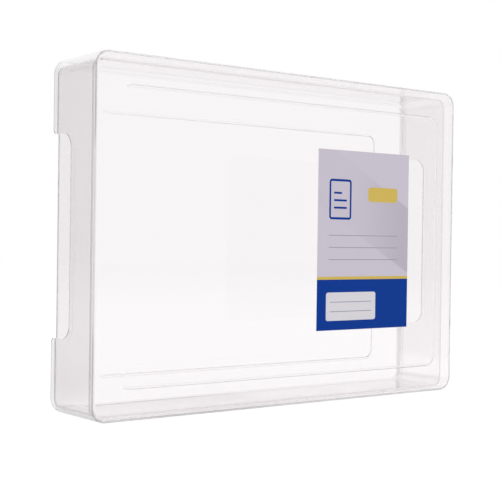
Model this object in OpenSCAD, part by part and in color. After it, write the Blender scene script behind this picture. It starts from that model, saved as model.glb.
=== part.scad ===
// Portable file box for loose sheets: a clear tray that slides into a clear cover.
// Each piece is laid out with the box lying on the tray's back, then stood on its long edge.
// Millimetres. +X along the length, +Y to the back, +Z up, origin under the middle of the box.

/* [Cover] */
// Length of the cover, outside
cover_length = 330; // [290:1:480]
// Width of the cover, outside, which is its height when it stands
cover_width = 238; // [210:1:360]
// Depth of the cover, from its face to its open rim
cover_depth = 57; // [50:0.5:100]
// Thickness of the cover's face and walls
cover_wall = 1.5; // [1:0.1:2.5]
// Radius of the four corners of the cover's outline
corner_radius = 10.5; // [8:0.5:20]
// Radius of the edge round the cover's face
cover_edge = 2.2; // [1.6:0.1:5]
// Width of the thicker band that runs round the cover's rim and its notches
band_width = 4; // [2:0.5:6]
// How far the band stands out on the inside of the wall
band_height = 0.3; // [0.1:0.1:0.6]

/* [Finger notches] */
// Width of the notch in each short wall of the cover
notch_width = 136; // [50:1:160]
// Depth of the notch, from the rim
notch_depth = 24.5; // [18:0.5:34]
// Radius of the notch's inner corners
notch_corner = 10.5; // [3:0.5:16]
// Radius where the notch runs out into the rim
notch_lip = 4; // [1:0.5:6]

/* [Tray] */
// Depth of the tray, from its back to its open rim
tray_depth = 49; // [42:0.5:90]
// Thickness of the tray's back and walls
tray_wall = 1.4; // [1:0.1:2.5]
// Radius of the edge round the tray's back
tray_edge = 3; // [2.75:0.25:4]
// Running clearance between the tray's walls and the cover's walls, each side
side_clearance = 1.7; // [1:0.1:2.5]
// Gap left under the tray, where it rests on the band of the cover's long wall
rest_gap = 0.3; // [0.1:0.05:0.4]
// How far the tray's rim stops short of the cover's outer face
rim_setback = 9; // [4:0.5:14]

/* [Panels] */
// Margin at each end of the sunk panel in the cover's face
cover_panel_end_margin = 21; // [12:0.5:30]
// Margin above and below the sunk panel in the cover's face
cover_panel_side_margin = 22; // [12:0.5:30]
// Corner radius of the cover's panel
cover_panel_corner = 7; // [3:0.5:12]
// Margin at each end of the sunk panel in the tray's back
tray_panel_end_margin = 32; // [12:0.5:40]
// Margin above and below the sunk panel in the tray's back
tray_panel_side_margin = 25; // [12:0.5:40]
// How far the tray's panel lies below the middle, with the box standing
tray_panel_drop = 4; // [0:0.5:8]
// Corner radius of the tray's panel
tray_panel_corner = 6; // [3:0.5:12]
// How far both panels are sunk
panel_step = 0.6; // [0.3:0.1:1]

/* [Label] */
// Length of the label, along the box
label_length = 93; // [40:1:110]
// Width of the label, across the box
label_width = 133.5; // [60:0.5:160]
// Thickness of the label
label_thickness = 0.2; // [0.1:0.05:0.4]
// Distance from the label to the right end of the cover
label_end_margin = 51; // [35:0.5:80]

/* [Hidden] */
$fn = 96;

cut = 1; // extra length of a cut past the surface it opens
wall_gap = cover_wall + side_clearance;
tray_length = cover_length - 2 * wall_gap;
tray_width = cover_width - 2 * wall_gap;
tray_corner = corner_radius - wall_gap;
tray_drop = side_clearance - band_height - rest_gap;
tray_back = cover_depth - rim_setback - tray_depth;
label_top = cover_depth - panel_step + label_thickness;
box_low = min(0, tray_back);
box_high = max(cover_depth, label_top);

// Rounded rectangle plate, centred, with its underside at z = 0
module plate(length, width, thickness, corner) {
    linear_extrude(thickness) {
        square([length - 2 * corner, width], center = true);
        square([length, width - 2 * corner], center = true);
        for (x = [-1, 1], y = [-1, 1])
            translate([x * (length / 2 - corner), y * (width / 2 - corner)]) circle(corner);
    }
}

// Section through a rounded lower edge, as wide as a corner and as high as the round
module edge_section(corner, edge) {
    square([corner - edge, edge]);
    translate([corner - edge, edge]) intersection() {
        circle(edge);
        translate([0, -edge]) square(edge);
    }
}

// Rounded block, centred, with its underside at z = 0 and its lower edges rounded off
module soft_block(length, width, depth, corner, edge) {
    straight_x = length - 2 * corner;
    straight_y = width - 2 * corner;
    translate([0, 0, edge]) plate(length, width, depth - edge, corner);
    translate([-straight_x / 2, -straight_y / 2, 0]) cube([straight_x, straight_y, edge]);
    for (turn = [0, 180]) rotate(turn) {
        translate([straight_x / 2, straight_y / 2, 0]) {
            rotate([90, 0, 0]) linear_extrude(straight_y) edge_section(corner, edge);
            rotate_extrude(angle = 90) edge_section(corner, edge);
        }
        translate([-straight_x / 2, straight_y / 2, 0]) {
            rotate([90, 0, 90]) linear_extrude(straight_x) edge_section(corner, edge);
            rotate(90) rotate_extrude(angle = 90) edge_section(corner, edge);
        }
    }
}

// Open pan that lies on its big face. A sunk panel in that face, of the given length,
// width and corner radius, keeps the wall's thickness.
module pan(length, width, depth, wall, corner, edge, panel, panel_shift) {
    difference() {
        soft_block(length, width, depth, corner, edge);
        translate([0, 0, wall]) difference() {
            soft_block(length - 2 * wall, width - 2 * wall, depth, corner - wall, edge - wall);
            translate([0, panel_shift, -cut])
                plate(panel[0] + 2 * wall, panel[1] + 2 * wall, cut + panel_step, panel[2] + wall);
        }
        translate([0, panel_shift, -cut]) plate(panel[0], panel[1], cut + panel_step, panel[2]);
    }
}

// Outline of a finger notch, in from the line y = start: x across it, y from the rim into
// the wall. The grown outline is that of the band round the notch.
module notch_outline(start, grow) {
    half = notch_width / 2 + grow;
    bottom = notch_depth + grow;
    corner = notch_corner + grow;
    translate([-half, start]) square([2 * half, bottom - corner - start]);
    translate([corner - half, start]) square([2 * (half - corner), bottom - start]);
    for (side = [-1, 1]) translate([side * (half - corner), bottom - corner]) circle(corner);
}

// Outline of what the notch's two lips take off the rim, where it runs out into the notch
module lip_outline() {
    half = notch_width / 2;
    for (side = [-1, 1]) difference() {
        translate([side * (half + notch_lip / 2), (notch_lip - cut) / 2])
            square([notch_lip, notch_lip + cut], center = true);
        translate([side * (half + notch_lip), notch_lip]) circle(notch_lip);
    }
}

// Band along the inside of the cover's rim, with the rim at z = 0
module rim_band() {
    bite = cover_wall / 2;
    length = cover_length - 2 * cover_wall;
    width = cover_width - 2 * cover_wall;
    corner = corner_radius - cover_wall;
    difference() {
        plate(length + 2 * bite, width + 2 * bite, band_width, corner + bite);
        translate([0, 0, -cut]) plate(length - 2 * band_height, width - 2 * band_height,
            band_width + 2 * cut, corner - band_height);
    }
}

// Pads on the inside of both short walls, which carry the band round the notches
module notch_bands() {
    bite = cover_wall / 2;
    for (turn = [0, 180]) rotate(turn)
        translate([cover_length / 2 - cover_wall - band_height, 0, 0]) rotate([90, 0, 90])
            linear_extrude(band_height + bite) notch_outline(0, band_width);
}

// Stands a piece on its long edge, with the cover's face to the front
module stand() {
    translate([0, (box_low + box_high) / 2, cover_width / 2]) rotate([90, 0, 0]) children();
}

module cover() {
    panel = [cover_length - 2 * cover_panel_end_margin,
        cover_width - 2 * cover_panel_side_margin, cover_panel_corner];
    color([0.93, 0.93, 0.95, 0.4]) stand() difference() {
        union() {
            translate([0, 0, cover_depth]) rotate([180, 0, 0])
                pan(cover_length, cover_width, cover_depth, cover_wall, corner_radius, cover_edge, panel, 0);
            rim_band();
            notch_bands();
        }
        translate([-cover_length / 2 - cut, 0, 0]) rotate([90, 0, 90])
            linear_extrude(cover_length + 2 * cut) {
                notch_outline(-cut, 0);
                lip_outline();
            }
    }
}

module tray() {
    panel = [tray_length - 2 * tray_panel_end_margin,
        tray_width - 2 * tray_panel_side_margin, tray_panel_corner];
    color([0.9, 0.9, 0.92, 0.4]) stand() translate([0, -tray_drop, tray_back])
        pan(tray_length, tray_width, tray_depth, tray_wall, tray_corner, tray_edge, panel, -tray_panel_drop);
}

module label() {
    label_x = cover_length / 2 - label_end_margin - label_length / 2;
    color([0.72, 0.71, 0.78]) stand() translate([label_x, 0, label_top - label_thickness])
        linear_extrude(label_thickness) square([label_length, label_width], center = true);
}

cover();
tray();
label();
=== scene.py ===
import math

import bmesh
import bpy
from mathutils import Matrix, Vector


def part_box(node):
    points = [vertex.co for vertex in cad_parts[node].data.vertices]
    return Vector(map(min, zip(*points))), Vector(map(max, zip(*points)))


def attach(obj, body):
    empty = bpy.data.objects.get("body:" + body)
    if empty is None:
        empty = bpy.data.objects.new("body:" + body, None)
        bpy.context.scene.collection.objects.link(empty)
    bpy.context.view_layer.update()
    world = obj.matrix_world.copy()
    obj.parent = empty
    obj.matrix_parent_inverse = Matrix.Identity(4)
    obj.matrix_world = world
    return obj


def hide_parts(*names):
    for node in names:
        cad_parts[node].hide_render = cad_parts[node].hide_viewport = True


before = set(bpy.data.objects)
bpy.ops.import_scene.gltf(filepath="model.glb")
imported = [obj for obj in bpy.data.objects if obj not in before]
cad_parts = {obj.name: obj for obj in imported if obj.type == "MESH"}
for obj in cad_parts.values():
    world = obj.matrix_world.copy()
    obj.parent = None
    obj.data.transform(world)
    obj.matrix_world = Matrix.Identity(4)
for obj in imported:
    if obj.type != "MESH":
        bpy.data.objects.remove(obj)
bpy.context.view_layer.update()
mm = 0.001

# the photograph's viewpoint, metres and degrees
viewpoint = {
    "spot": (-0.5263, -0.6582, 0.1183),
    "turn": 37.62,       # to the right of straight on
    "pitch": -0.51,      # up is positive
    "roll": 0.78,
    "lens": 82.15,
    "sensor": 36.0,
}


def aimCamera(view):
    data = bpy.data.cameras.new("camera")
    data.sensor_width = view["sensor"]
    data.lens = view["lens"]
    data.clip_start = 0.01
    data.clip_end = 20
    camera = bpy.data.objects.new("camera", data)
    bpy.context.scene.collection.objects.link(camera)
    turn = Matrix.Rotation(math.radians(-view["turn"]), 4, "Z")
    pitch = Matrix.Rotation(math.radians(90 + view["pitch"]), 4, "X")
    roll = Matrix.Rotation(math.radians(view["roll"]), 4, "Z")
    camera.matrix_world = Matrix.Translation(view["spot"]) @ turn @ pitch @ roll
    bpy.context.scene.camera = camera


aimCamera(viewpoint)
print("camera set")


# a wrapped socket, so that shader maths reads as plain maths
class Wire:
    def __init__(self, sheet, socket):
        self.sheet = sheet
        self.socket = socket

    def join(self, operation, other, flipped=False):
        pair = (other, self) if flipped else (self, other)
        return self.sheet.add("ShaderNodeMath", {"operation": operation}, {0: pair[0], 1: pair[1]})

    def __add__(self, other):
        return self.join("ADD", other)

    def __radd__(self, other):
        return self.join("ADD", other, True)

    def __sub__(self, other):
        return self.join("SUBTRACT", other)

    def __rsub__(self, other):
        return self.join("SUBTRACT", other, True)

    def __mul__(self, other):
        return self.join("MULTIPLY", other)

    def __rmul__(self, other):
        return self.join("MULTIPLY", other, True)

    def __gt__(self, other):
        return self.join("GREATER_THAN", other)

    def __lt__(self, other):
        return self.join("LESS_THAN", other)

    def __abs__(self):
        return self.join("ABSOLUTE", 0.0)

    def atLeast(self, other):
        return self.join("MAXIMUM", other)

    def power(self, other):
        return self.join("POWER", other)


class Sheet:
    def __init__(self, tree):
        self.tree = tree
        tree.nodes.clear()

    def add(self, kind, settings=None, values=None, out=0):
        node = self.tree.nodes.new(kind)
        for name, value in (settings or {}).items():
            setattr(node, name, value)
        for name, value in (values or {}).items():
            socket = node.inputs[name]
            if isinstance(value, Wire):
                self.tree.links.new(value.socket, socket)
            else:
                socket.default_value = value
        return Wire(self, node.outputs[out]) if node.outputs else None


def newMaterial(name):
    material = bpy.data.materials.new(name)
    material.use_nodes = True
    return material, Sheet(material.node_tree)


def roughSpots(sheet, place, size, detail):
    return sheet.add("ShaderNodeTexNoise", {}, {"Vector": place, "Scale": size, "Detail": detail}, "Fac")


def faceMark(sheet, name):
    return sheet.add("ShaderNodeAttribute", {"attribute_name": name}, out="Fac")


def paint(sheet, mask, under, over):
    return sheet.add("ShaderNodeMix", {"data_type": "RGBA"}, {0: mask, 6: under, 7: over}, 2)


def smoothStep(sheet, value, span, ends):
    # a smooth change from one end value to the other
    return sheet.add("ShaderNodeMapRange", {"interpolation_type": "SMOOTHSTEP"}, {
        "Value": value,
        "From Min": span[0],
        "From Max": span[1],
        "To Min": ends[0],
        "To Max": ends[1],
    })


# clear, faintly milky plastic of the two shells
plasticLook = {
    "tint": (0.984, 0.972, 0.977, 1.0),
    "bandAndCornerShadeTint": (0.90, 0.885, 0.895, 1.0),  # darker tint of the band along the rim; on the outline's corners it is painted shade
    "ior": 1.49,
    "roughness": 0.01,
    "haze": 0.02,            # how far the roughness of the flats wanders
    "hazeSize": 14.0,        # per metre
    "edgeRoughness": 0.6,    # the moulded edges are not as true as the flats
    "waveSize": 30.0,        # slow waves of the moulding, per metre
    "waveDepth": 0.00002,
    "milk": (0.90, 0.88, 0.90, 1.0),
    "milkRoughness": 0.4,
    "milkOnEdges": 0.9,
    "milkOnFlats": 0.005,
    "depthColour": (0.90, 0.80, 0.86, 1.0),
    "depthDensity": 3.0,
}


def makePlastic(name, look):
    material, sheet = newMaterial(name)
    place = sheet.add("ShaderNodeTexCoord", out="Object")
    edge = faceMark(sheet, "edge")
    bandTintCornerShade = faceMark(sheet, "bandTintCornerShade")
    haze = roughSpots(sheet, place, look["hazeSize"], 4.0)
    waves = roughSpots(sheet, place, look["waveSize"], 1.0)
    relief = sheet.add("ShaderNodeBump", {}, {"Distance": look["waveDepth"], "Height": waves}, "Normal")
    # the band along the rim is tinted darker, and the outline's corners get part of that tint as painted
    # shade
    clear = sheet.add("ShaderNodeBsdfPrincipled", {}, {
        "Base Color": paint(sheet, bandTintCornerShade, look["tint"], look["bandAndCornerShadeTint"]),
        "Roughness": edge * look["edgeRoughness"] + haze * look["haze"] + look["roughness"],
        "IOR": look["ior"],
        "Transmission Weight": 1.0,
        "Normal": relief,
    })
    milky = sheet.add("ShaderNodeBsdfPrincipled", {}, {
        "Base Color": look["milk"],
        "Roughness": look["milkRoughness"],
        "IOR": look["ior"],
    })
    within = sheet.add("ShaderNodeNewGeometry", out="Backfacing")      # light that leaves the plastic
    share = (edge * (look["milkOnEdges"] - look["milkOnFlats"]) + look["milkOnFlats"]) * (1 - within)
    plastic = sheet.add("ShaderNodeMixShader", {}, {0: share, 1: clear, 2: milky})
    depth = sheet.add("ShaderNodeVolumeAbsorption", {}, {
        "Color": look["depthColour"],
        "Density": look["depthDensity"],
    })
    sheet.add("ShaderNodeOutputMaterial", {}, {"Surface": plastic, "Volume": depth})
    return material


coverPlastic = makePlastic("coverPlastic", plasticLook)
trayPlastic = makePlastic("trayPlastic", plasticLook)


# the two shells: sizes in mm, places from the frame
coverShell = {
    "wall": 1.5,
    "corner": 10.5,      # corners of the outline
    "edge": 2.2,         # round between the face and the walls
    "softEnds": 0.55,    # how much of the edge finish the rounds at the ends get
    "softSides": 0.25,   # and those along the long walls
    "softStep": 0.9,     # and the slope round the panel
    "leftRim": 1.0,      # and the left part of the rim
    "cornerShadeShare": 0.35,  # how much of the band's darker tint the outline's corners get, as painted shade
    "bandWidth": 4,      # thicker band inside the rim
    "bandHeight": 0.3,
    "bandRamp": 0.1,     # length over which it falls back to the wall
    "rimRound": 0.6,
    "panelEnds": 21,     # margins round the sunk panel
    "panelSides": 22,
    "panelCorner": 7,
    "panelDrop": 0,
    "stepRun": 0.5,      # half the width of the slope round the panel
    "leftRun": 2.4,      # what is added to it at the panel's left end, where it is gentle
    "opens": 1,          # the open side, +1 is the back
}
trayShell = {
    "wall": 1.4,
    "corner": 7.3,
    "edge": 3,
    "softEnds": 1.0,
    "softSides": 0.2,
    "softStep": 0.55,
    "leftRim": 0.6,
    # painted shade on the outline's corners
    "cornerShadeShare": 0.35,
    "bandWidth": 0,
    "bandHeight": 0,
    "rimRound": 0.4,
    "panelEnds": 32,
    "panelSides": 25,
    "panelCorner": 6,
    "panelDrop": 4,
    "stepRun": 0.7,
    "leftRun": 2.0,
    "opens": -1,
}
panelStep = ((1, 0), (0.4, 0.08), (-0.4, 0.54), (-1, 0.62))      # share of the step's run, down
cornerSteps = 16
edgeSteps = 7
rimSteps = 4


def roundCorners(bm, verts, radius, steps):
    bmesh.ops.bevel(bm, geom=verts, affect="VERTICES", offset_type="OFFSET", offset=radius,
                    segments=steps, profile=0.5, material=-1)


def firstRing(bm, ring):
    # one rounded rectangle, left as a loop of edges
    made = bmesh.ops.create_grid(bm, x_segments=1, y_segments=1, size=1)["verts"]
    bmesh.ops.scale(bm, vec=(ring["halfLength"], ring["halfHeight"], 1), verts=made)
    bmesh.ops.rotate(bm, matrix=Matrix.Rotation(math.pi / 2, 3, "X"), cent=(0, 0, 0), verts=made)
    bmesh.ops.translate(bm, vec=(0, ring["y"], ring["middle"]), verts=made)
    left = [vert for vert in made if vert.co.x < 0]
    bmesh.ops.translate(bm, vec=(-ring["leftRun"], 0, 0), verts=left)
    roundCorners(bm, made, ring["corner"], cornerSteps)
    bmesh.ops.delete(bm, geom=bm.faces[:], context="FACES_ONLY")

    def turn(spot):
        return math.atan2(spot.z - ring["middle"], spot.x)

    # in the same order each run
    bm.verts.sort(key=lambda vert: turn(vert.co))
    bm.edges.sort(key=lambda edge: turn((edge.verts[0].co + edge.verts[1].co) / 2))
    return bm.edges[:]


def cornerCentre(ring, right, up):
    across = right * (ring["halfLength"] - ring["corner"])
    if right < 0:
        across -= ring["leftRun"]
    return Vector((across, ring["y"], ring["middle"] + up * (ring["halfHeight"] - ring["corner"])))


def nextRing(bm, edges, old, new):
    # the loop is extruded, then each of its round corners is sized and moved to the new outline
    grown = bmesh.ops.extrude_edge_only(bm, edges=edges)["geom"]
    verts = [item for item in grown if isinstance(item, bmesh.types.BMVert)]
    size = new["corner"] / old["corner"]
    corners = {}
    for vert in verts:
        side = (1 if vert.co.x > 0 else -1, 1 if vert.co.z > old["middle"] else -1)
        corners.setdefault(side, []).append(vert)
    for (right, up), corner in corners.items():
        start = cornerCentre(old, right, up)
        bmesh.ops.scale(bm, vec=(size, 1, size), space=Matrix.Translation(-start), verts=corner)
        bmesh.ops.translate(bm, vec=cornerCentre(new, right, up) - start, verts=corner)
    fresh = set(verts)
    return [item for item in grown if isinstance(item, bmesh.types.BMEdge) and fresh.issuperset(item.verts)]


def arc(radius, steps):
    # points of a quarter round, from the side towards the end
    angles = [math.pi / 2 * step / steps for step in range(steps + 1)]
    return [(radius * (1 - math.cos(a)), radius * (1 - math.sin(a))) for a in angles]


def shellProfile(shell, depth):
    # the section of the wall: inset from the outline, depth from the face
    wall = shell["wall"]
    rimWall = wall + shell["bandHeight"]
    outer = list(reversed(arc(shell["edge"], edgeSteps)))
    rimOut = [(inset, depth - down) for inset, down in arc(shell["rimRound"], rimSteps)]
    rimIn = [(rimWall - inset, y) for inset, y in reversed(rimOut)]
    band = []
    if shell["bandHeight"]:
        bandStart = depth - shell["bandWidth"]
        outer.append((0, bandStart))
        band = [(rimWall, bandStart), (wall, bandStart - shell["bandRamp"])]
    inner = [(wall + inset, wall + down) for inset, down in arc(shell["edge"] - wall, edgeSteps)]
    return outer + rimOut + rimIn + band + inner


def makeShell(name, node, shell, material):
    low, high = [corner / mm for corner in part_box(node)]
    length, depth, height = high - low
    wall = shell["wall"]
    middle = (low.z + high.z) / 2
    closed = low.y if shell["opens"] > 0 else high.y
    panelMiddle = middle - shell["panelDrop"]
    panel = (length - 2 * shell["panelEnds"], height - 2 * shell["panelSides"], shell["panelCorner"])
    rings = []

    def ring(outline, grow, down, centre, leftRun=0):
        rings.append({
            "halfLength": outline[0] / 2 + grow,
            "halfHeight": outline[1] / 2 + grow,
            "corner": outline[2] + grow,
            "y": closed + shell["opens"] * down,
            "middle": centre,
            "leftRun": leftRun,
        })

    for share, down in reversed(panelStep):
        ring(panel, share * shell["stepRun"], down, panelMiddle, share * shell["leftRun"])
    for inset, down in shellProfile(shell, depth):
        ring((length, height, shell["corner"]), -inset, down, middle)
    for share, down in panelStep:
        grow = share * shell["stepRun"] + wall
        ring(panel, grow, down + wall, panelMiddle, share * shell["leftRun"])
    bm = bmesh.new()
    loop = firstRing(bm, rings[0])
    bmesh.ops.edgeloop_fill(bm, edges=loop)
    for old, new in zip(rings, rings[1:]):
        loop = nextRing(bm, loop, old, new)
    bmesh.ops.edgeloop_fill(bm, edges=loop)
    bmesh.ops.scale(bm, vec=(mm, mm, mm), verts=bm.verts)
    bmesh.ops.recalc_face_normals(bm, faces=bm.faces)
    return finishMesh(name, bm, material)


def finishMesh(name, bm, material):
    mesh = bpy.data.meshes.new(name)
    bm.to_mesh(mesh)
    bm.free()
    mesh.materials.append(material)
    piece = bpy.data.objects.new(name, mesh)
    bpy.context.scene.collection.objects.link(piece)
    return piece


# finger notch in each short wall of the cover, mm
notch = {
    "width": 136,
    "depth": 24.5,
    "corner": 10.5,
    "lip": 4,
    "steps": 12,      # of each round
    "reach": 6,       # how far the cutter runs past the rim
    "spread": 1,      # and past the lips
    "over": 5,        # and past both ends of the cover
}


def notchSolid(name, grow, lips, starts, thickness):
    # slabs in the outline of the notch, each from its start along X. The lips flare out at the rim.
    low, high = [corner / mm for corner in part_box("cover")]
    middle = (low.z + high.z) / 2
    half = notch["width"] / 2 + grow
    rim = high.y
    bottom = rim - notch["depth"] - grow
    if lips:
        flare = half + notch["lip"] + notch["spread"]
        outline = [(half, bottom), (half, rim), (flare, rim), (flare, rim + notch["reach"])]
    else:
        outline = [(half, bottom), (half, rim - coverShell["rimRound"])]
    outline += [(-z, y) for z, y in reversed(outline)]
    bm = bmesh.new()
    for start in starts:
        verts = [bm.verts.new((start, y, middle + z)) for z, y in outline]
        bm.faces.new(verts)
        if lips:
            roundCorners(bm, [verts[1], verts[-2]], notch["lip"], notch["steps"])
        roundCorners(bm, [verts[0], verts[-1]], notch["corner"] + grow, notch["steps"])
    grown = bmesh.ops.extrude_face_region(bm, geom=bm.faces[:])["geom"]
    moved = [item for item in grown if isinstance(item, bmesh.types.BMVert)]
    bmesh.ops.translate(bm, vec=(thickness, 0, 0), verts=moved)
    bmesh.ops.scale(bm, vec=(mm, mm, mm), verts=bm.verts)
    bmesh.ops.recalc_face_normals(bm, faces=bm.faces)
    return finishMesh(name, bm, coverPlastic)


def combine(piece, tool, operation):
    step = piece.modifiers.new(operation, "BOOLEAN")
    step.operation = operation
    step.solver = "EXACT"
    step.object = tool
    graph = bpy.context.evaluated_depsgraph_get()
    result = bpy.data.meshes.new_from_object(piece.evaluated_get(graph))
    piece.modifiers.clear()
    piece.data = result
    bpy.data.objects.remove(tool)


# how the faces of a shell are told apart, mm and shares
faceRules = {
    "strip": 2.2,        # widest face that is part of a rim or a round
    "pastRound": 1,      # how far behind the face's round the cut edges begin
    "border": 6,         # width of the outline's zone
    "upright": 0.02,     # a wall's face looks less than this along the depth
    "flat": 0.98,        # and a flat's more than this
    "slope": 0.95,       # the panel's slope looks less than this along it
    "sideways": 0.5,     # the notch's cut looks less than this along the length
    "corner": 0.1,       # a corner looks more than this along length and height
}


def markFaces(mesh, node, shell):
    # edge: 1 on rims and cut edges, less on rounds and the panel's slope, 0 on the flats
    # the darker tint: 1 on the band along the rim, less on the outline's corners, where it is painted shade
    low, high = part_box(node)
    middle = (low + high) / 2
    half = (high - low) / 2
    closed = low.y if shell["opens"] > 0 else high.y
    bandStart = high.y - low.y - shell["bandWidth"] * mm
    notchHalf = (notch["width"] / 2 + notch["lip"]) * mm
    border = faceRules["border"] * mm
    marks = {"edge": [], "bandTintCornerShade": []}
    for face in mesh.polygons:
        offset = face.center - middle
        across, level, up = [abs(part) for part in face.normal]
        down = abs(face.center.y - closed)
        narrow = face.area < faceRules["strip"] * mm * sideSum(mesh, face) / 2
        deep = down > (shell["edge"] + faceRules["pastRound"]) * mm
        outside = max(abs(offset.x) - half.x, abs(offset.z) - half.z) > -border
        inNotch = abs(offset.z) < notchHalf and across < faceRules["sideways"]
        if narrow and deep and (level > faceRules["upright"] or inNotch):
            edge = shell["leftRim"] if offset.x < border - half.x else 1.0
        elif narrow and outside and faceRules["upright"] < level < faceRules["flat"]:
            edge = shell["softEnds"] if across > up else shell["softSides"]
        else:
            edge = 0.0 if outside or level >= faceRules["slope"] else shell["softStep"]
        marks["edge"].append(edge)
        if shell["bandHeight"] and down > bandStart:
            marks["bandTintCornerShade"].append(1.0)
        else:
            # painted shade on the outline's corners
            marks["bandTintCornerShade"].append(shell["cornerShadeShare"] * (outside and min(across, up) > faceRules["corner"]))
    for name, values in marks.items():
        mesh.attributes.new(name, "FLOAT", "FACE").data.foreach_set("value", values)


def sideSum(mesh, face):
    spots = [mesh.vertices[index].co for index in face.vertices]
    return sum((one - two).length for one, two in zip(spots, spots[1:] + spots[:1]))


mergeDistance = 0.004      # mm
sharpAngle = 50            # degrees


def shade(piece, node, shell):
    bm = bmesh.new()
    bm.from_mesh(piece.data)
    bmesh.ops.remove_doubles(bm, verts=bm.verts, dist=mergeDistance * mm)
    for face in bm.faces:
        face.smooth = True
    bm.to_mesh(piece.data)
    bm.free()
    markFaces(piece.data, node, shell)
    piece.data.set_sharp_from_angle(angle=math.radians(sharpAngle))
    weigh = piece.modifiers.new("weigh", "WEIGHTED_NORMAL")
    weigh.keep_sharp = True


cover = makeShell("coverShell", "cover", coverShell, coverPlastic)
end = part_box("cover")[1].x / mm
padInside = end - coverShell["wall"] - coverShell["bandHeight"]
padThick = coverShell["bandHeight"] + coverShell["wall"] / 2
pads = notchSolid("bandPads", coverShell["bandWidth"], False, [padInside, -padInside - padThick], padThick)
combine(cover, pads, "UNION")
cutter = notchSolid("notchCutter", 0, True, [-end - notch["over"]], 2 * (end + notch["over"]))
combine(cover, cutter, "DIFFERENCE")
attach(cover, "cover")
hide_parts("cover")
shade(cover, "cover", coverShell)
tray = makeShell("trayShell", "tray", trayShell, trayPlastic)
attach(tray, "tray")
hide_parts("tray")
shade(tray, "tray", trayShell)
print("shells made")

# the label: a plain two-tone print, sizes in mm from its lower left corner
labelLook = {
    "lilac": (0.56, 0.52, 0.60, 1.0),
    "lilacShade": (0.44, 0.405, 0.475, 1.0),
    "blue": (0.001, 0.037, 0.265, 1.0),
    "yellow": (0.60, 0.44, 0.10, 1.0),
    "white": (0.66, 0.64, 0.68, 1.0),
    "ruling": (0.30, 0.31, 0.40, 1.0),
    "back": (0.86, 0.85, 0.86, 1.0),
    "bandTop": 37.5,
    "stripe": 2.2,
    "tab": (50, 96, 31, 11, 3),             # left, bottom, width, height, corner
    "sheetMark": (11, 82, 22, 30, 2.5),
    "markLine": 1.7,
    "field": (9, 7, 50, 21, 2),
    "rules": ((11, 52, 71), (11, 61, 71), (11, 70, 71)),      # left, bottom, length
    "markRules": ((15.5, 90, 13), (15.5, 95.5, 13), (15.5, 101, 8)),
    "fieldRules": ((13, 13.5, 42), (13, 20.5, 42)),
    "ruleHeight": 0.6,
    "markRuleHeight": 1.5,
    "foldSlant": 0.55,         # a slanting fold of tone across the upper part
    "foldPlace": 118,
    "foldEdge": (24.0, 26.0),
    "fadeSpan": (30.0, 95.0),  # it deepens from left to right
    "fadeDepth": (0.1, 0.8),
    "backStart": 0.3,          # share of the thickness that is printed
    "roughness": 0.42,
    "gloss": 0.07,
    "grainSize": 900.0,        # per metre
    "grainRoughness": 0.12,
    "grainDepth": 0.00001,
}


def roundedMask(u, v, spot, inset=0.0):
    # 1 inside a rounded rectangle, 0 outside it
    left, bottom, width, height, corner = spot
    corner -= inset
    acrossPast = (abs(u - (left + width / 2)) - (width / 2 - inset - corner)).atLeast(0.0)
    upPast = (abs(v - (bottom + height / 2)) - (height / 2 - inset - corner)).atLeast(0.0)
    past = (acrossPast * acrossPast + upPast * upPast).power(0.5)
    return past < corner


def ruleMask(u, v, rules, height):
    total = None
    for left, bottom, length in rules:
        mask = roundedMask(u, v, (left, bottom, length, height, height / 2))
        total = mask if total is None else total.atLeast(mask)
    return total


def makeLabel(name, look):
    low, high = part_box("label")
    material, sheet = newMaterial(name)
    place = sheet.add("ShaderNodeTexCoord", out="Object")
    x = sheet.add("ShaderNodeSeparateXYZ", {}, {0: place}, "X")
    y = sheet.add("ShaderNodeSeparateXYZ", {}, {0: place}, "Y")
    z = sheet.add("ShaderNodeSeparateXYZ", {}, {0: place}, "Z")
    u = (x - low.x) * (1 / mm)
    v = (z - low.z) * (1 / mm)
    foldWay = abs(u * look["foldSlant"] + v - look["foldPlace"])
    fold = smoothStep(sheet, foldWay, look["foldEdge"], (1.0, 0.0))
    fade = smoothStep(sheet, u, look["fadeSpan"], look["fadeDepth"])
    colour = paint(sheet, fold * fade, look["lilac"], look["lilacShade"])
    colour = paint(sheet, v < look["bandTop"] + look["stripe"], colour, look["yellow"])
    colour = paint(sheet, v < look["bandTop"], colour, look["blue"])
    colour = paint(sheet, ruleMask(u, v, look["rules"], look["ruleHeight"]), colour, look["ruling"])
    colour = paint(sheet, roundedMask(u, v, look["tab"]), colour, look["yellow"])
    outer = roundedMask(u, v, look["sheetMark"])
    inner = roundedMask(u, v, look["sheetMark"], look["markLine"])
    colour = paint(sheet, outer - inner, colour, look["blue"])
    marks = ruleMask(u, v, look["markRules"], look["markRuleHeight"])
    colour = paint(sheet, marks, colour, look["blue"])
    colour = paint(sheet, roundedMask(u, v, look["field"]), colour, look["white"])
    lines = ruleMask(u, v, look["fieldRules"], look["ruleHeight"])
    colour = paint(sheet, lines, colour, look["ruling"])
    colour = paint(sheet, y > low.y + look["backStart"] * (high.y - low.y), colour, look["back"])

    grain = roughSpots(sheet, place, look["grainSize"], 3.0)
    relief = sheet.add("ShaderNodeBump", {}, {"Distance": look["grainDepth"], "Height": grain}, "Normal")
    film = sheet.add("ShaderNodeBsdfPrincipled", {}, {
        "Base Color": colour,
        "Roughness": grain * look["grainRoughness"] + look["roughness"],
        "Specular IOR Level": look["gloss"],
        "Normal": relief,
    })
    sheet.add("ShaderNodeOutputMaterial", {}, {"Surface": film})
    return material


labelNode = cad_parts["label"]
labelNode.data.materials.clear()
labelNode.data.materials.append(makeLabel("labelFilm", labelLook))
print("label printed")


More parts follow.
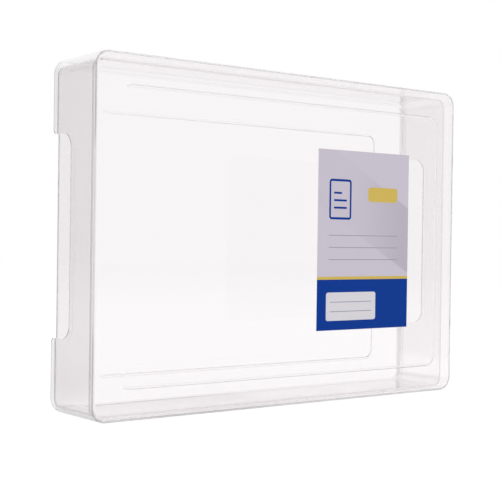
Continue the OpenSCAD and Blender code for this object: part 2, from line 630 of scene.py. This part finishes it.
# the studio: white where it is seen straight or through the walls, while gloss finds a pale sweep
# and a dim screen beside it
studio = {
    "sweep": (0.61, 0.79, 0.0),    # the way to its brightest part
    "sweepTone": 0.85,
    "sweepFall": 0.15,
    "screen": (-0.61, 0.79, 0.0),  # the way to the dim screen, mirrored by the box's short walls
    "screenEdge": (0.72, 0.97),
    "screenDepth": 0.61,
    "white": (1, 1, 1, 1),
    "paper": (0.9, 0.9, 0.9, 1),
    "ambient": 0.85,               # light on the object from all round
    "aim": (0, 0, 0.1),            # where the lamps look
    "floorSize": 4.0,
    "floorGlow": 1.09,
    "floorShade": 0.25,            # how much of the floor's own shade shows
    "floorDip": 0.08,              # takes the floor's own shade off again where it is mirrored
    "floorThrough": 0.022,         # and where it is seen through the walls
}


def studioTone(sheet, direction, dip):
    # white wherever nothing has mirrored the ray, else by the way that it goes
    dot = {"operation": "DOT_PRODUCT"}
    sweepWay = sheet.add("ShaderNodeVectorMath", dot, {0: direction, 1: studio["sweep"]}, "Value")
    screenWay = sheet.add("ShaderNodeVectorMath", dot, {0: direction, 1: studio["screen"]}, "Value")
    screen = smoothStep(sheet, screenWay, studio["screenEdge"], (0.0, studio["screenDepth"]))
    straight = sheet.add("ShaderNodeLightPath", out="Glossy Depth") < 0.5
    tone = sweepWay * studio["sweepFall"] + studio["sweepTone"] - screen
    return sheet.add("ShaderNodeClamp", {}, {"Value": tone + straight - dip})


def seenDirectly(sheet):
    camera = sheet.add("ShaderNodeLightPath", out="Is Camera Ray")
    glossy = sheet.add("ShaderNodeLightPath", out="Is Glossy Ray")
    through = sheet.add("ShaderNodeLightPath", out="Is Transmission Ray")
    total = camera + glossy + through
    return sheet.add("ShaderNodeClamp", {}, {"Value": total})


def makeFloor():
    mesh = bpy.data.meshes.new("floor")
    bm = bmesh.new()
    bmesh.ops.create_grid(bm, x_segments=1, y_segments=1, size=studio["floorSize"])
    bm.to_mesh(mesh)
    bm.free()
    floor = bpy.data.objects.new("floor", mesh)
    bpy.context.scene.collection.objects.link(floor)
    material, sheet = newMaterial("floorPaper")
    place = sheet.add("ShaderNodeTexCoord", out="Object")
    outward = sheet.add("ShaderNodeVectorMath", {"operation": "NORMALIZE"}, {0: place}, "Vector")
    paper = sheet.add("ShaderNodeBsdfDiffuse", {}, {"Color": studio["paper"]})
    through = sheet.add("ShaderNodeLightPath", out="Is Transmission Ray")
    seenGlow = studio["floorGlow"] - through * studio["floorThrough"]
    glow = sheet.add("ShaderNodeEmission", {}, {
        "Color": studio["white"],
        "Strength": studioTone(sheet, outward, studio["floorDip"]) * seenGlow,
    })
    shaded = sheet.add("ShaderNodeMixShader", {}, {0: 1 - studio["floorShade"], 1: paper, 2: glow})
    mixed = sheet.add("ShaderNodeMixShader", {}, {0: seenDirectly(sheet), 1: paper, 2: shaded})
    sheet.add("ShaderNodeOutputMaterial", {}, {"Surface": mixed})
    mesh.materials.append(material)


def makeWorld():
    world = bpy.data.worlds.new("studio")
    bpy.context.scene.world = world
    world.use_nodes = True
    sheet = Sheet(world.node_tree)
    direction = sheet.add("ShaderNodeTexCoord", out="Generated")
    ambient = sheet.add("ShaderNodeBackground", {}, {
        "Color": studio["white"],
        "Strength": studio["ambient"],
    })
    sweep = sheet.add("ShaderNodeBackground", {}, {
        "Color": studio["white"],
        "Strength": studioTone(sheet, direction, 0.0),
    })
    mixed = sheet.add("ShaderNodeMixShader", {}, {0: seenDirectly(sheet), 1: ambient, 2: sweep})
    sheet.add("ShaderNodeOutputWorld", {}, {"Surface": mixed})


makeFloor()
makeWorld()

# two soft lamps: place, size in metres, watts
lamps = {
    "frontLamp": ((-1.1, -1.6, 1.3), 1.6, 9.0),
    "topLamp": ((0.5, 0.3, 2.0), 1.8, 9.0),
}
for name, (spot, size, power) in lamps.items():
    data = bpy.data.lights.new(name, "AREA")
    data.shape = "SQUARE"
    data.size = size
    data.energy = power
    lamp = bpy.data.objects.new(name, data)
    bpy.context.scene.collection.objects.link(lamp)
    aim = Vector(studio["aim"]) - Vector(spot)
    lamp.matrix_world = Matrix.Translation(spot) @ aim.to_track_quat("-Z", "Y").to_matrix().to_4x4()
    lamp.visible_glossy = False      # no square highlight on the clear walls
    lamp.visible_transmission = False
print("studio set")

# clear walls pass light on many times before it comes out again
bounces = 24
cycles = bpy.context.scene.cycles
cycles.max_bounces = bounces
cycles.glossy_bounces = bounces
cycles.transmission_bounces = bounces
cycles.blur_glossy = 0       # or the light that reaches the label's back through the walls is lost
bpy.context.scene.view_settings.view_transform = "Standard"
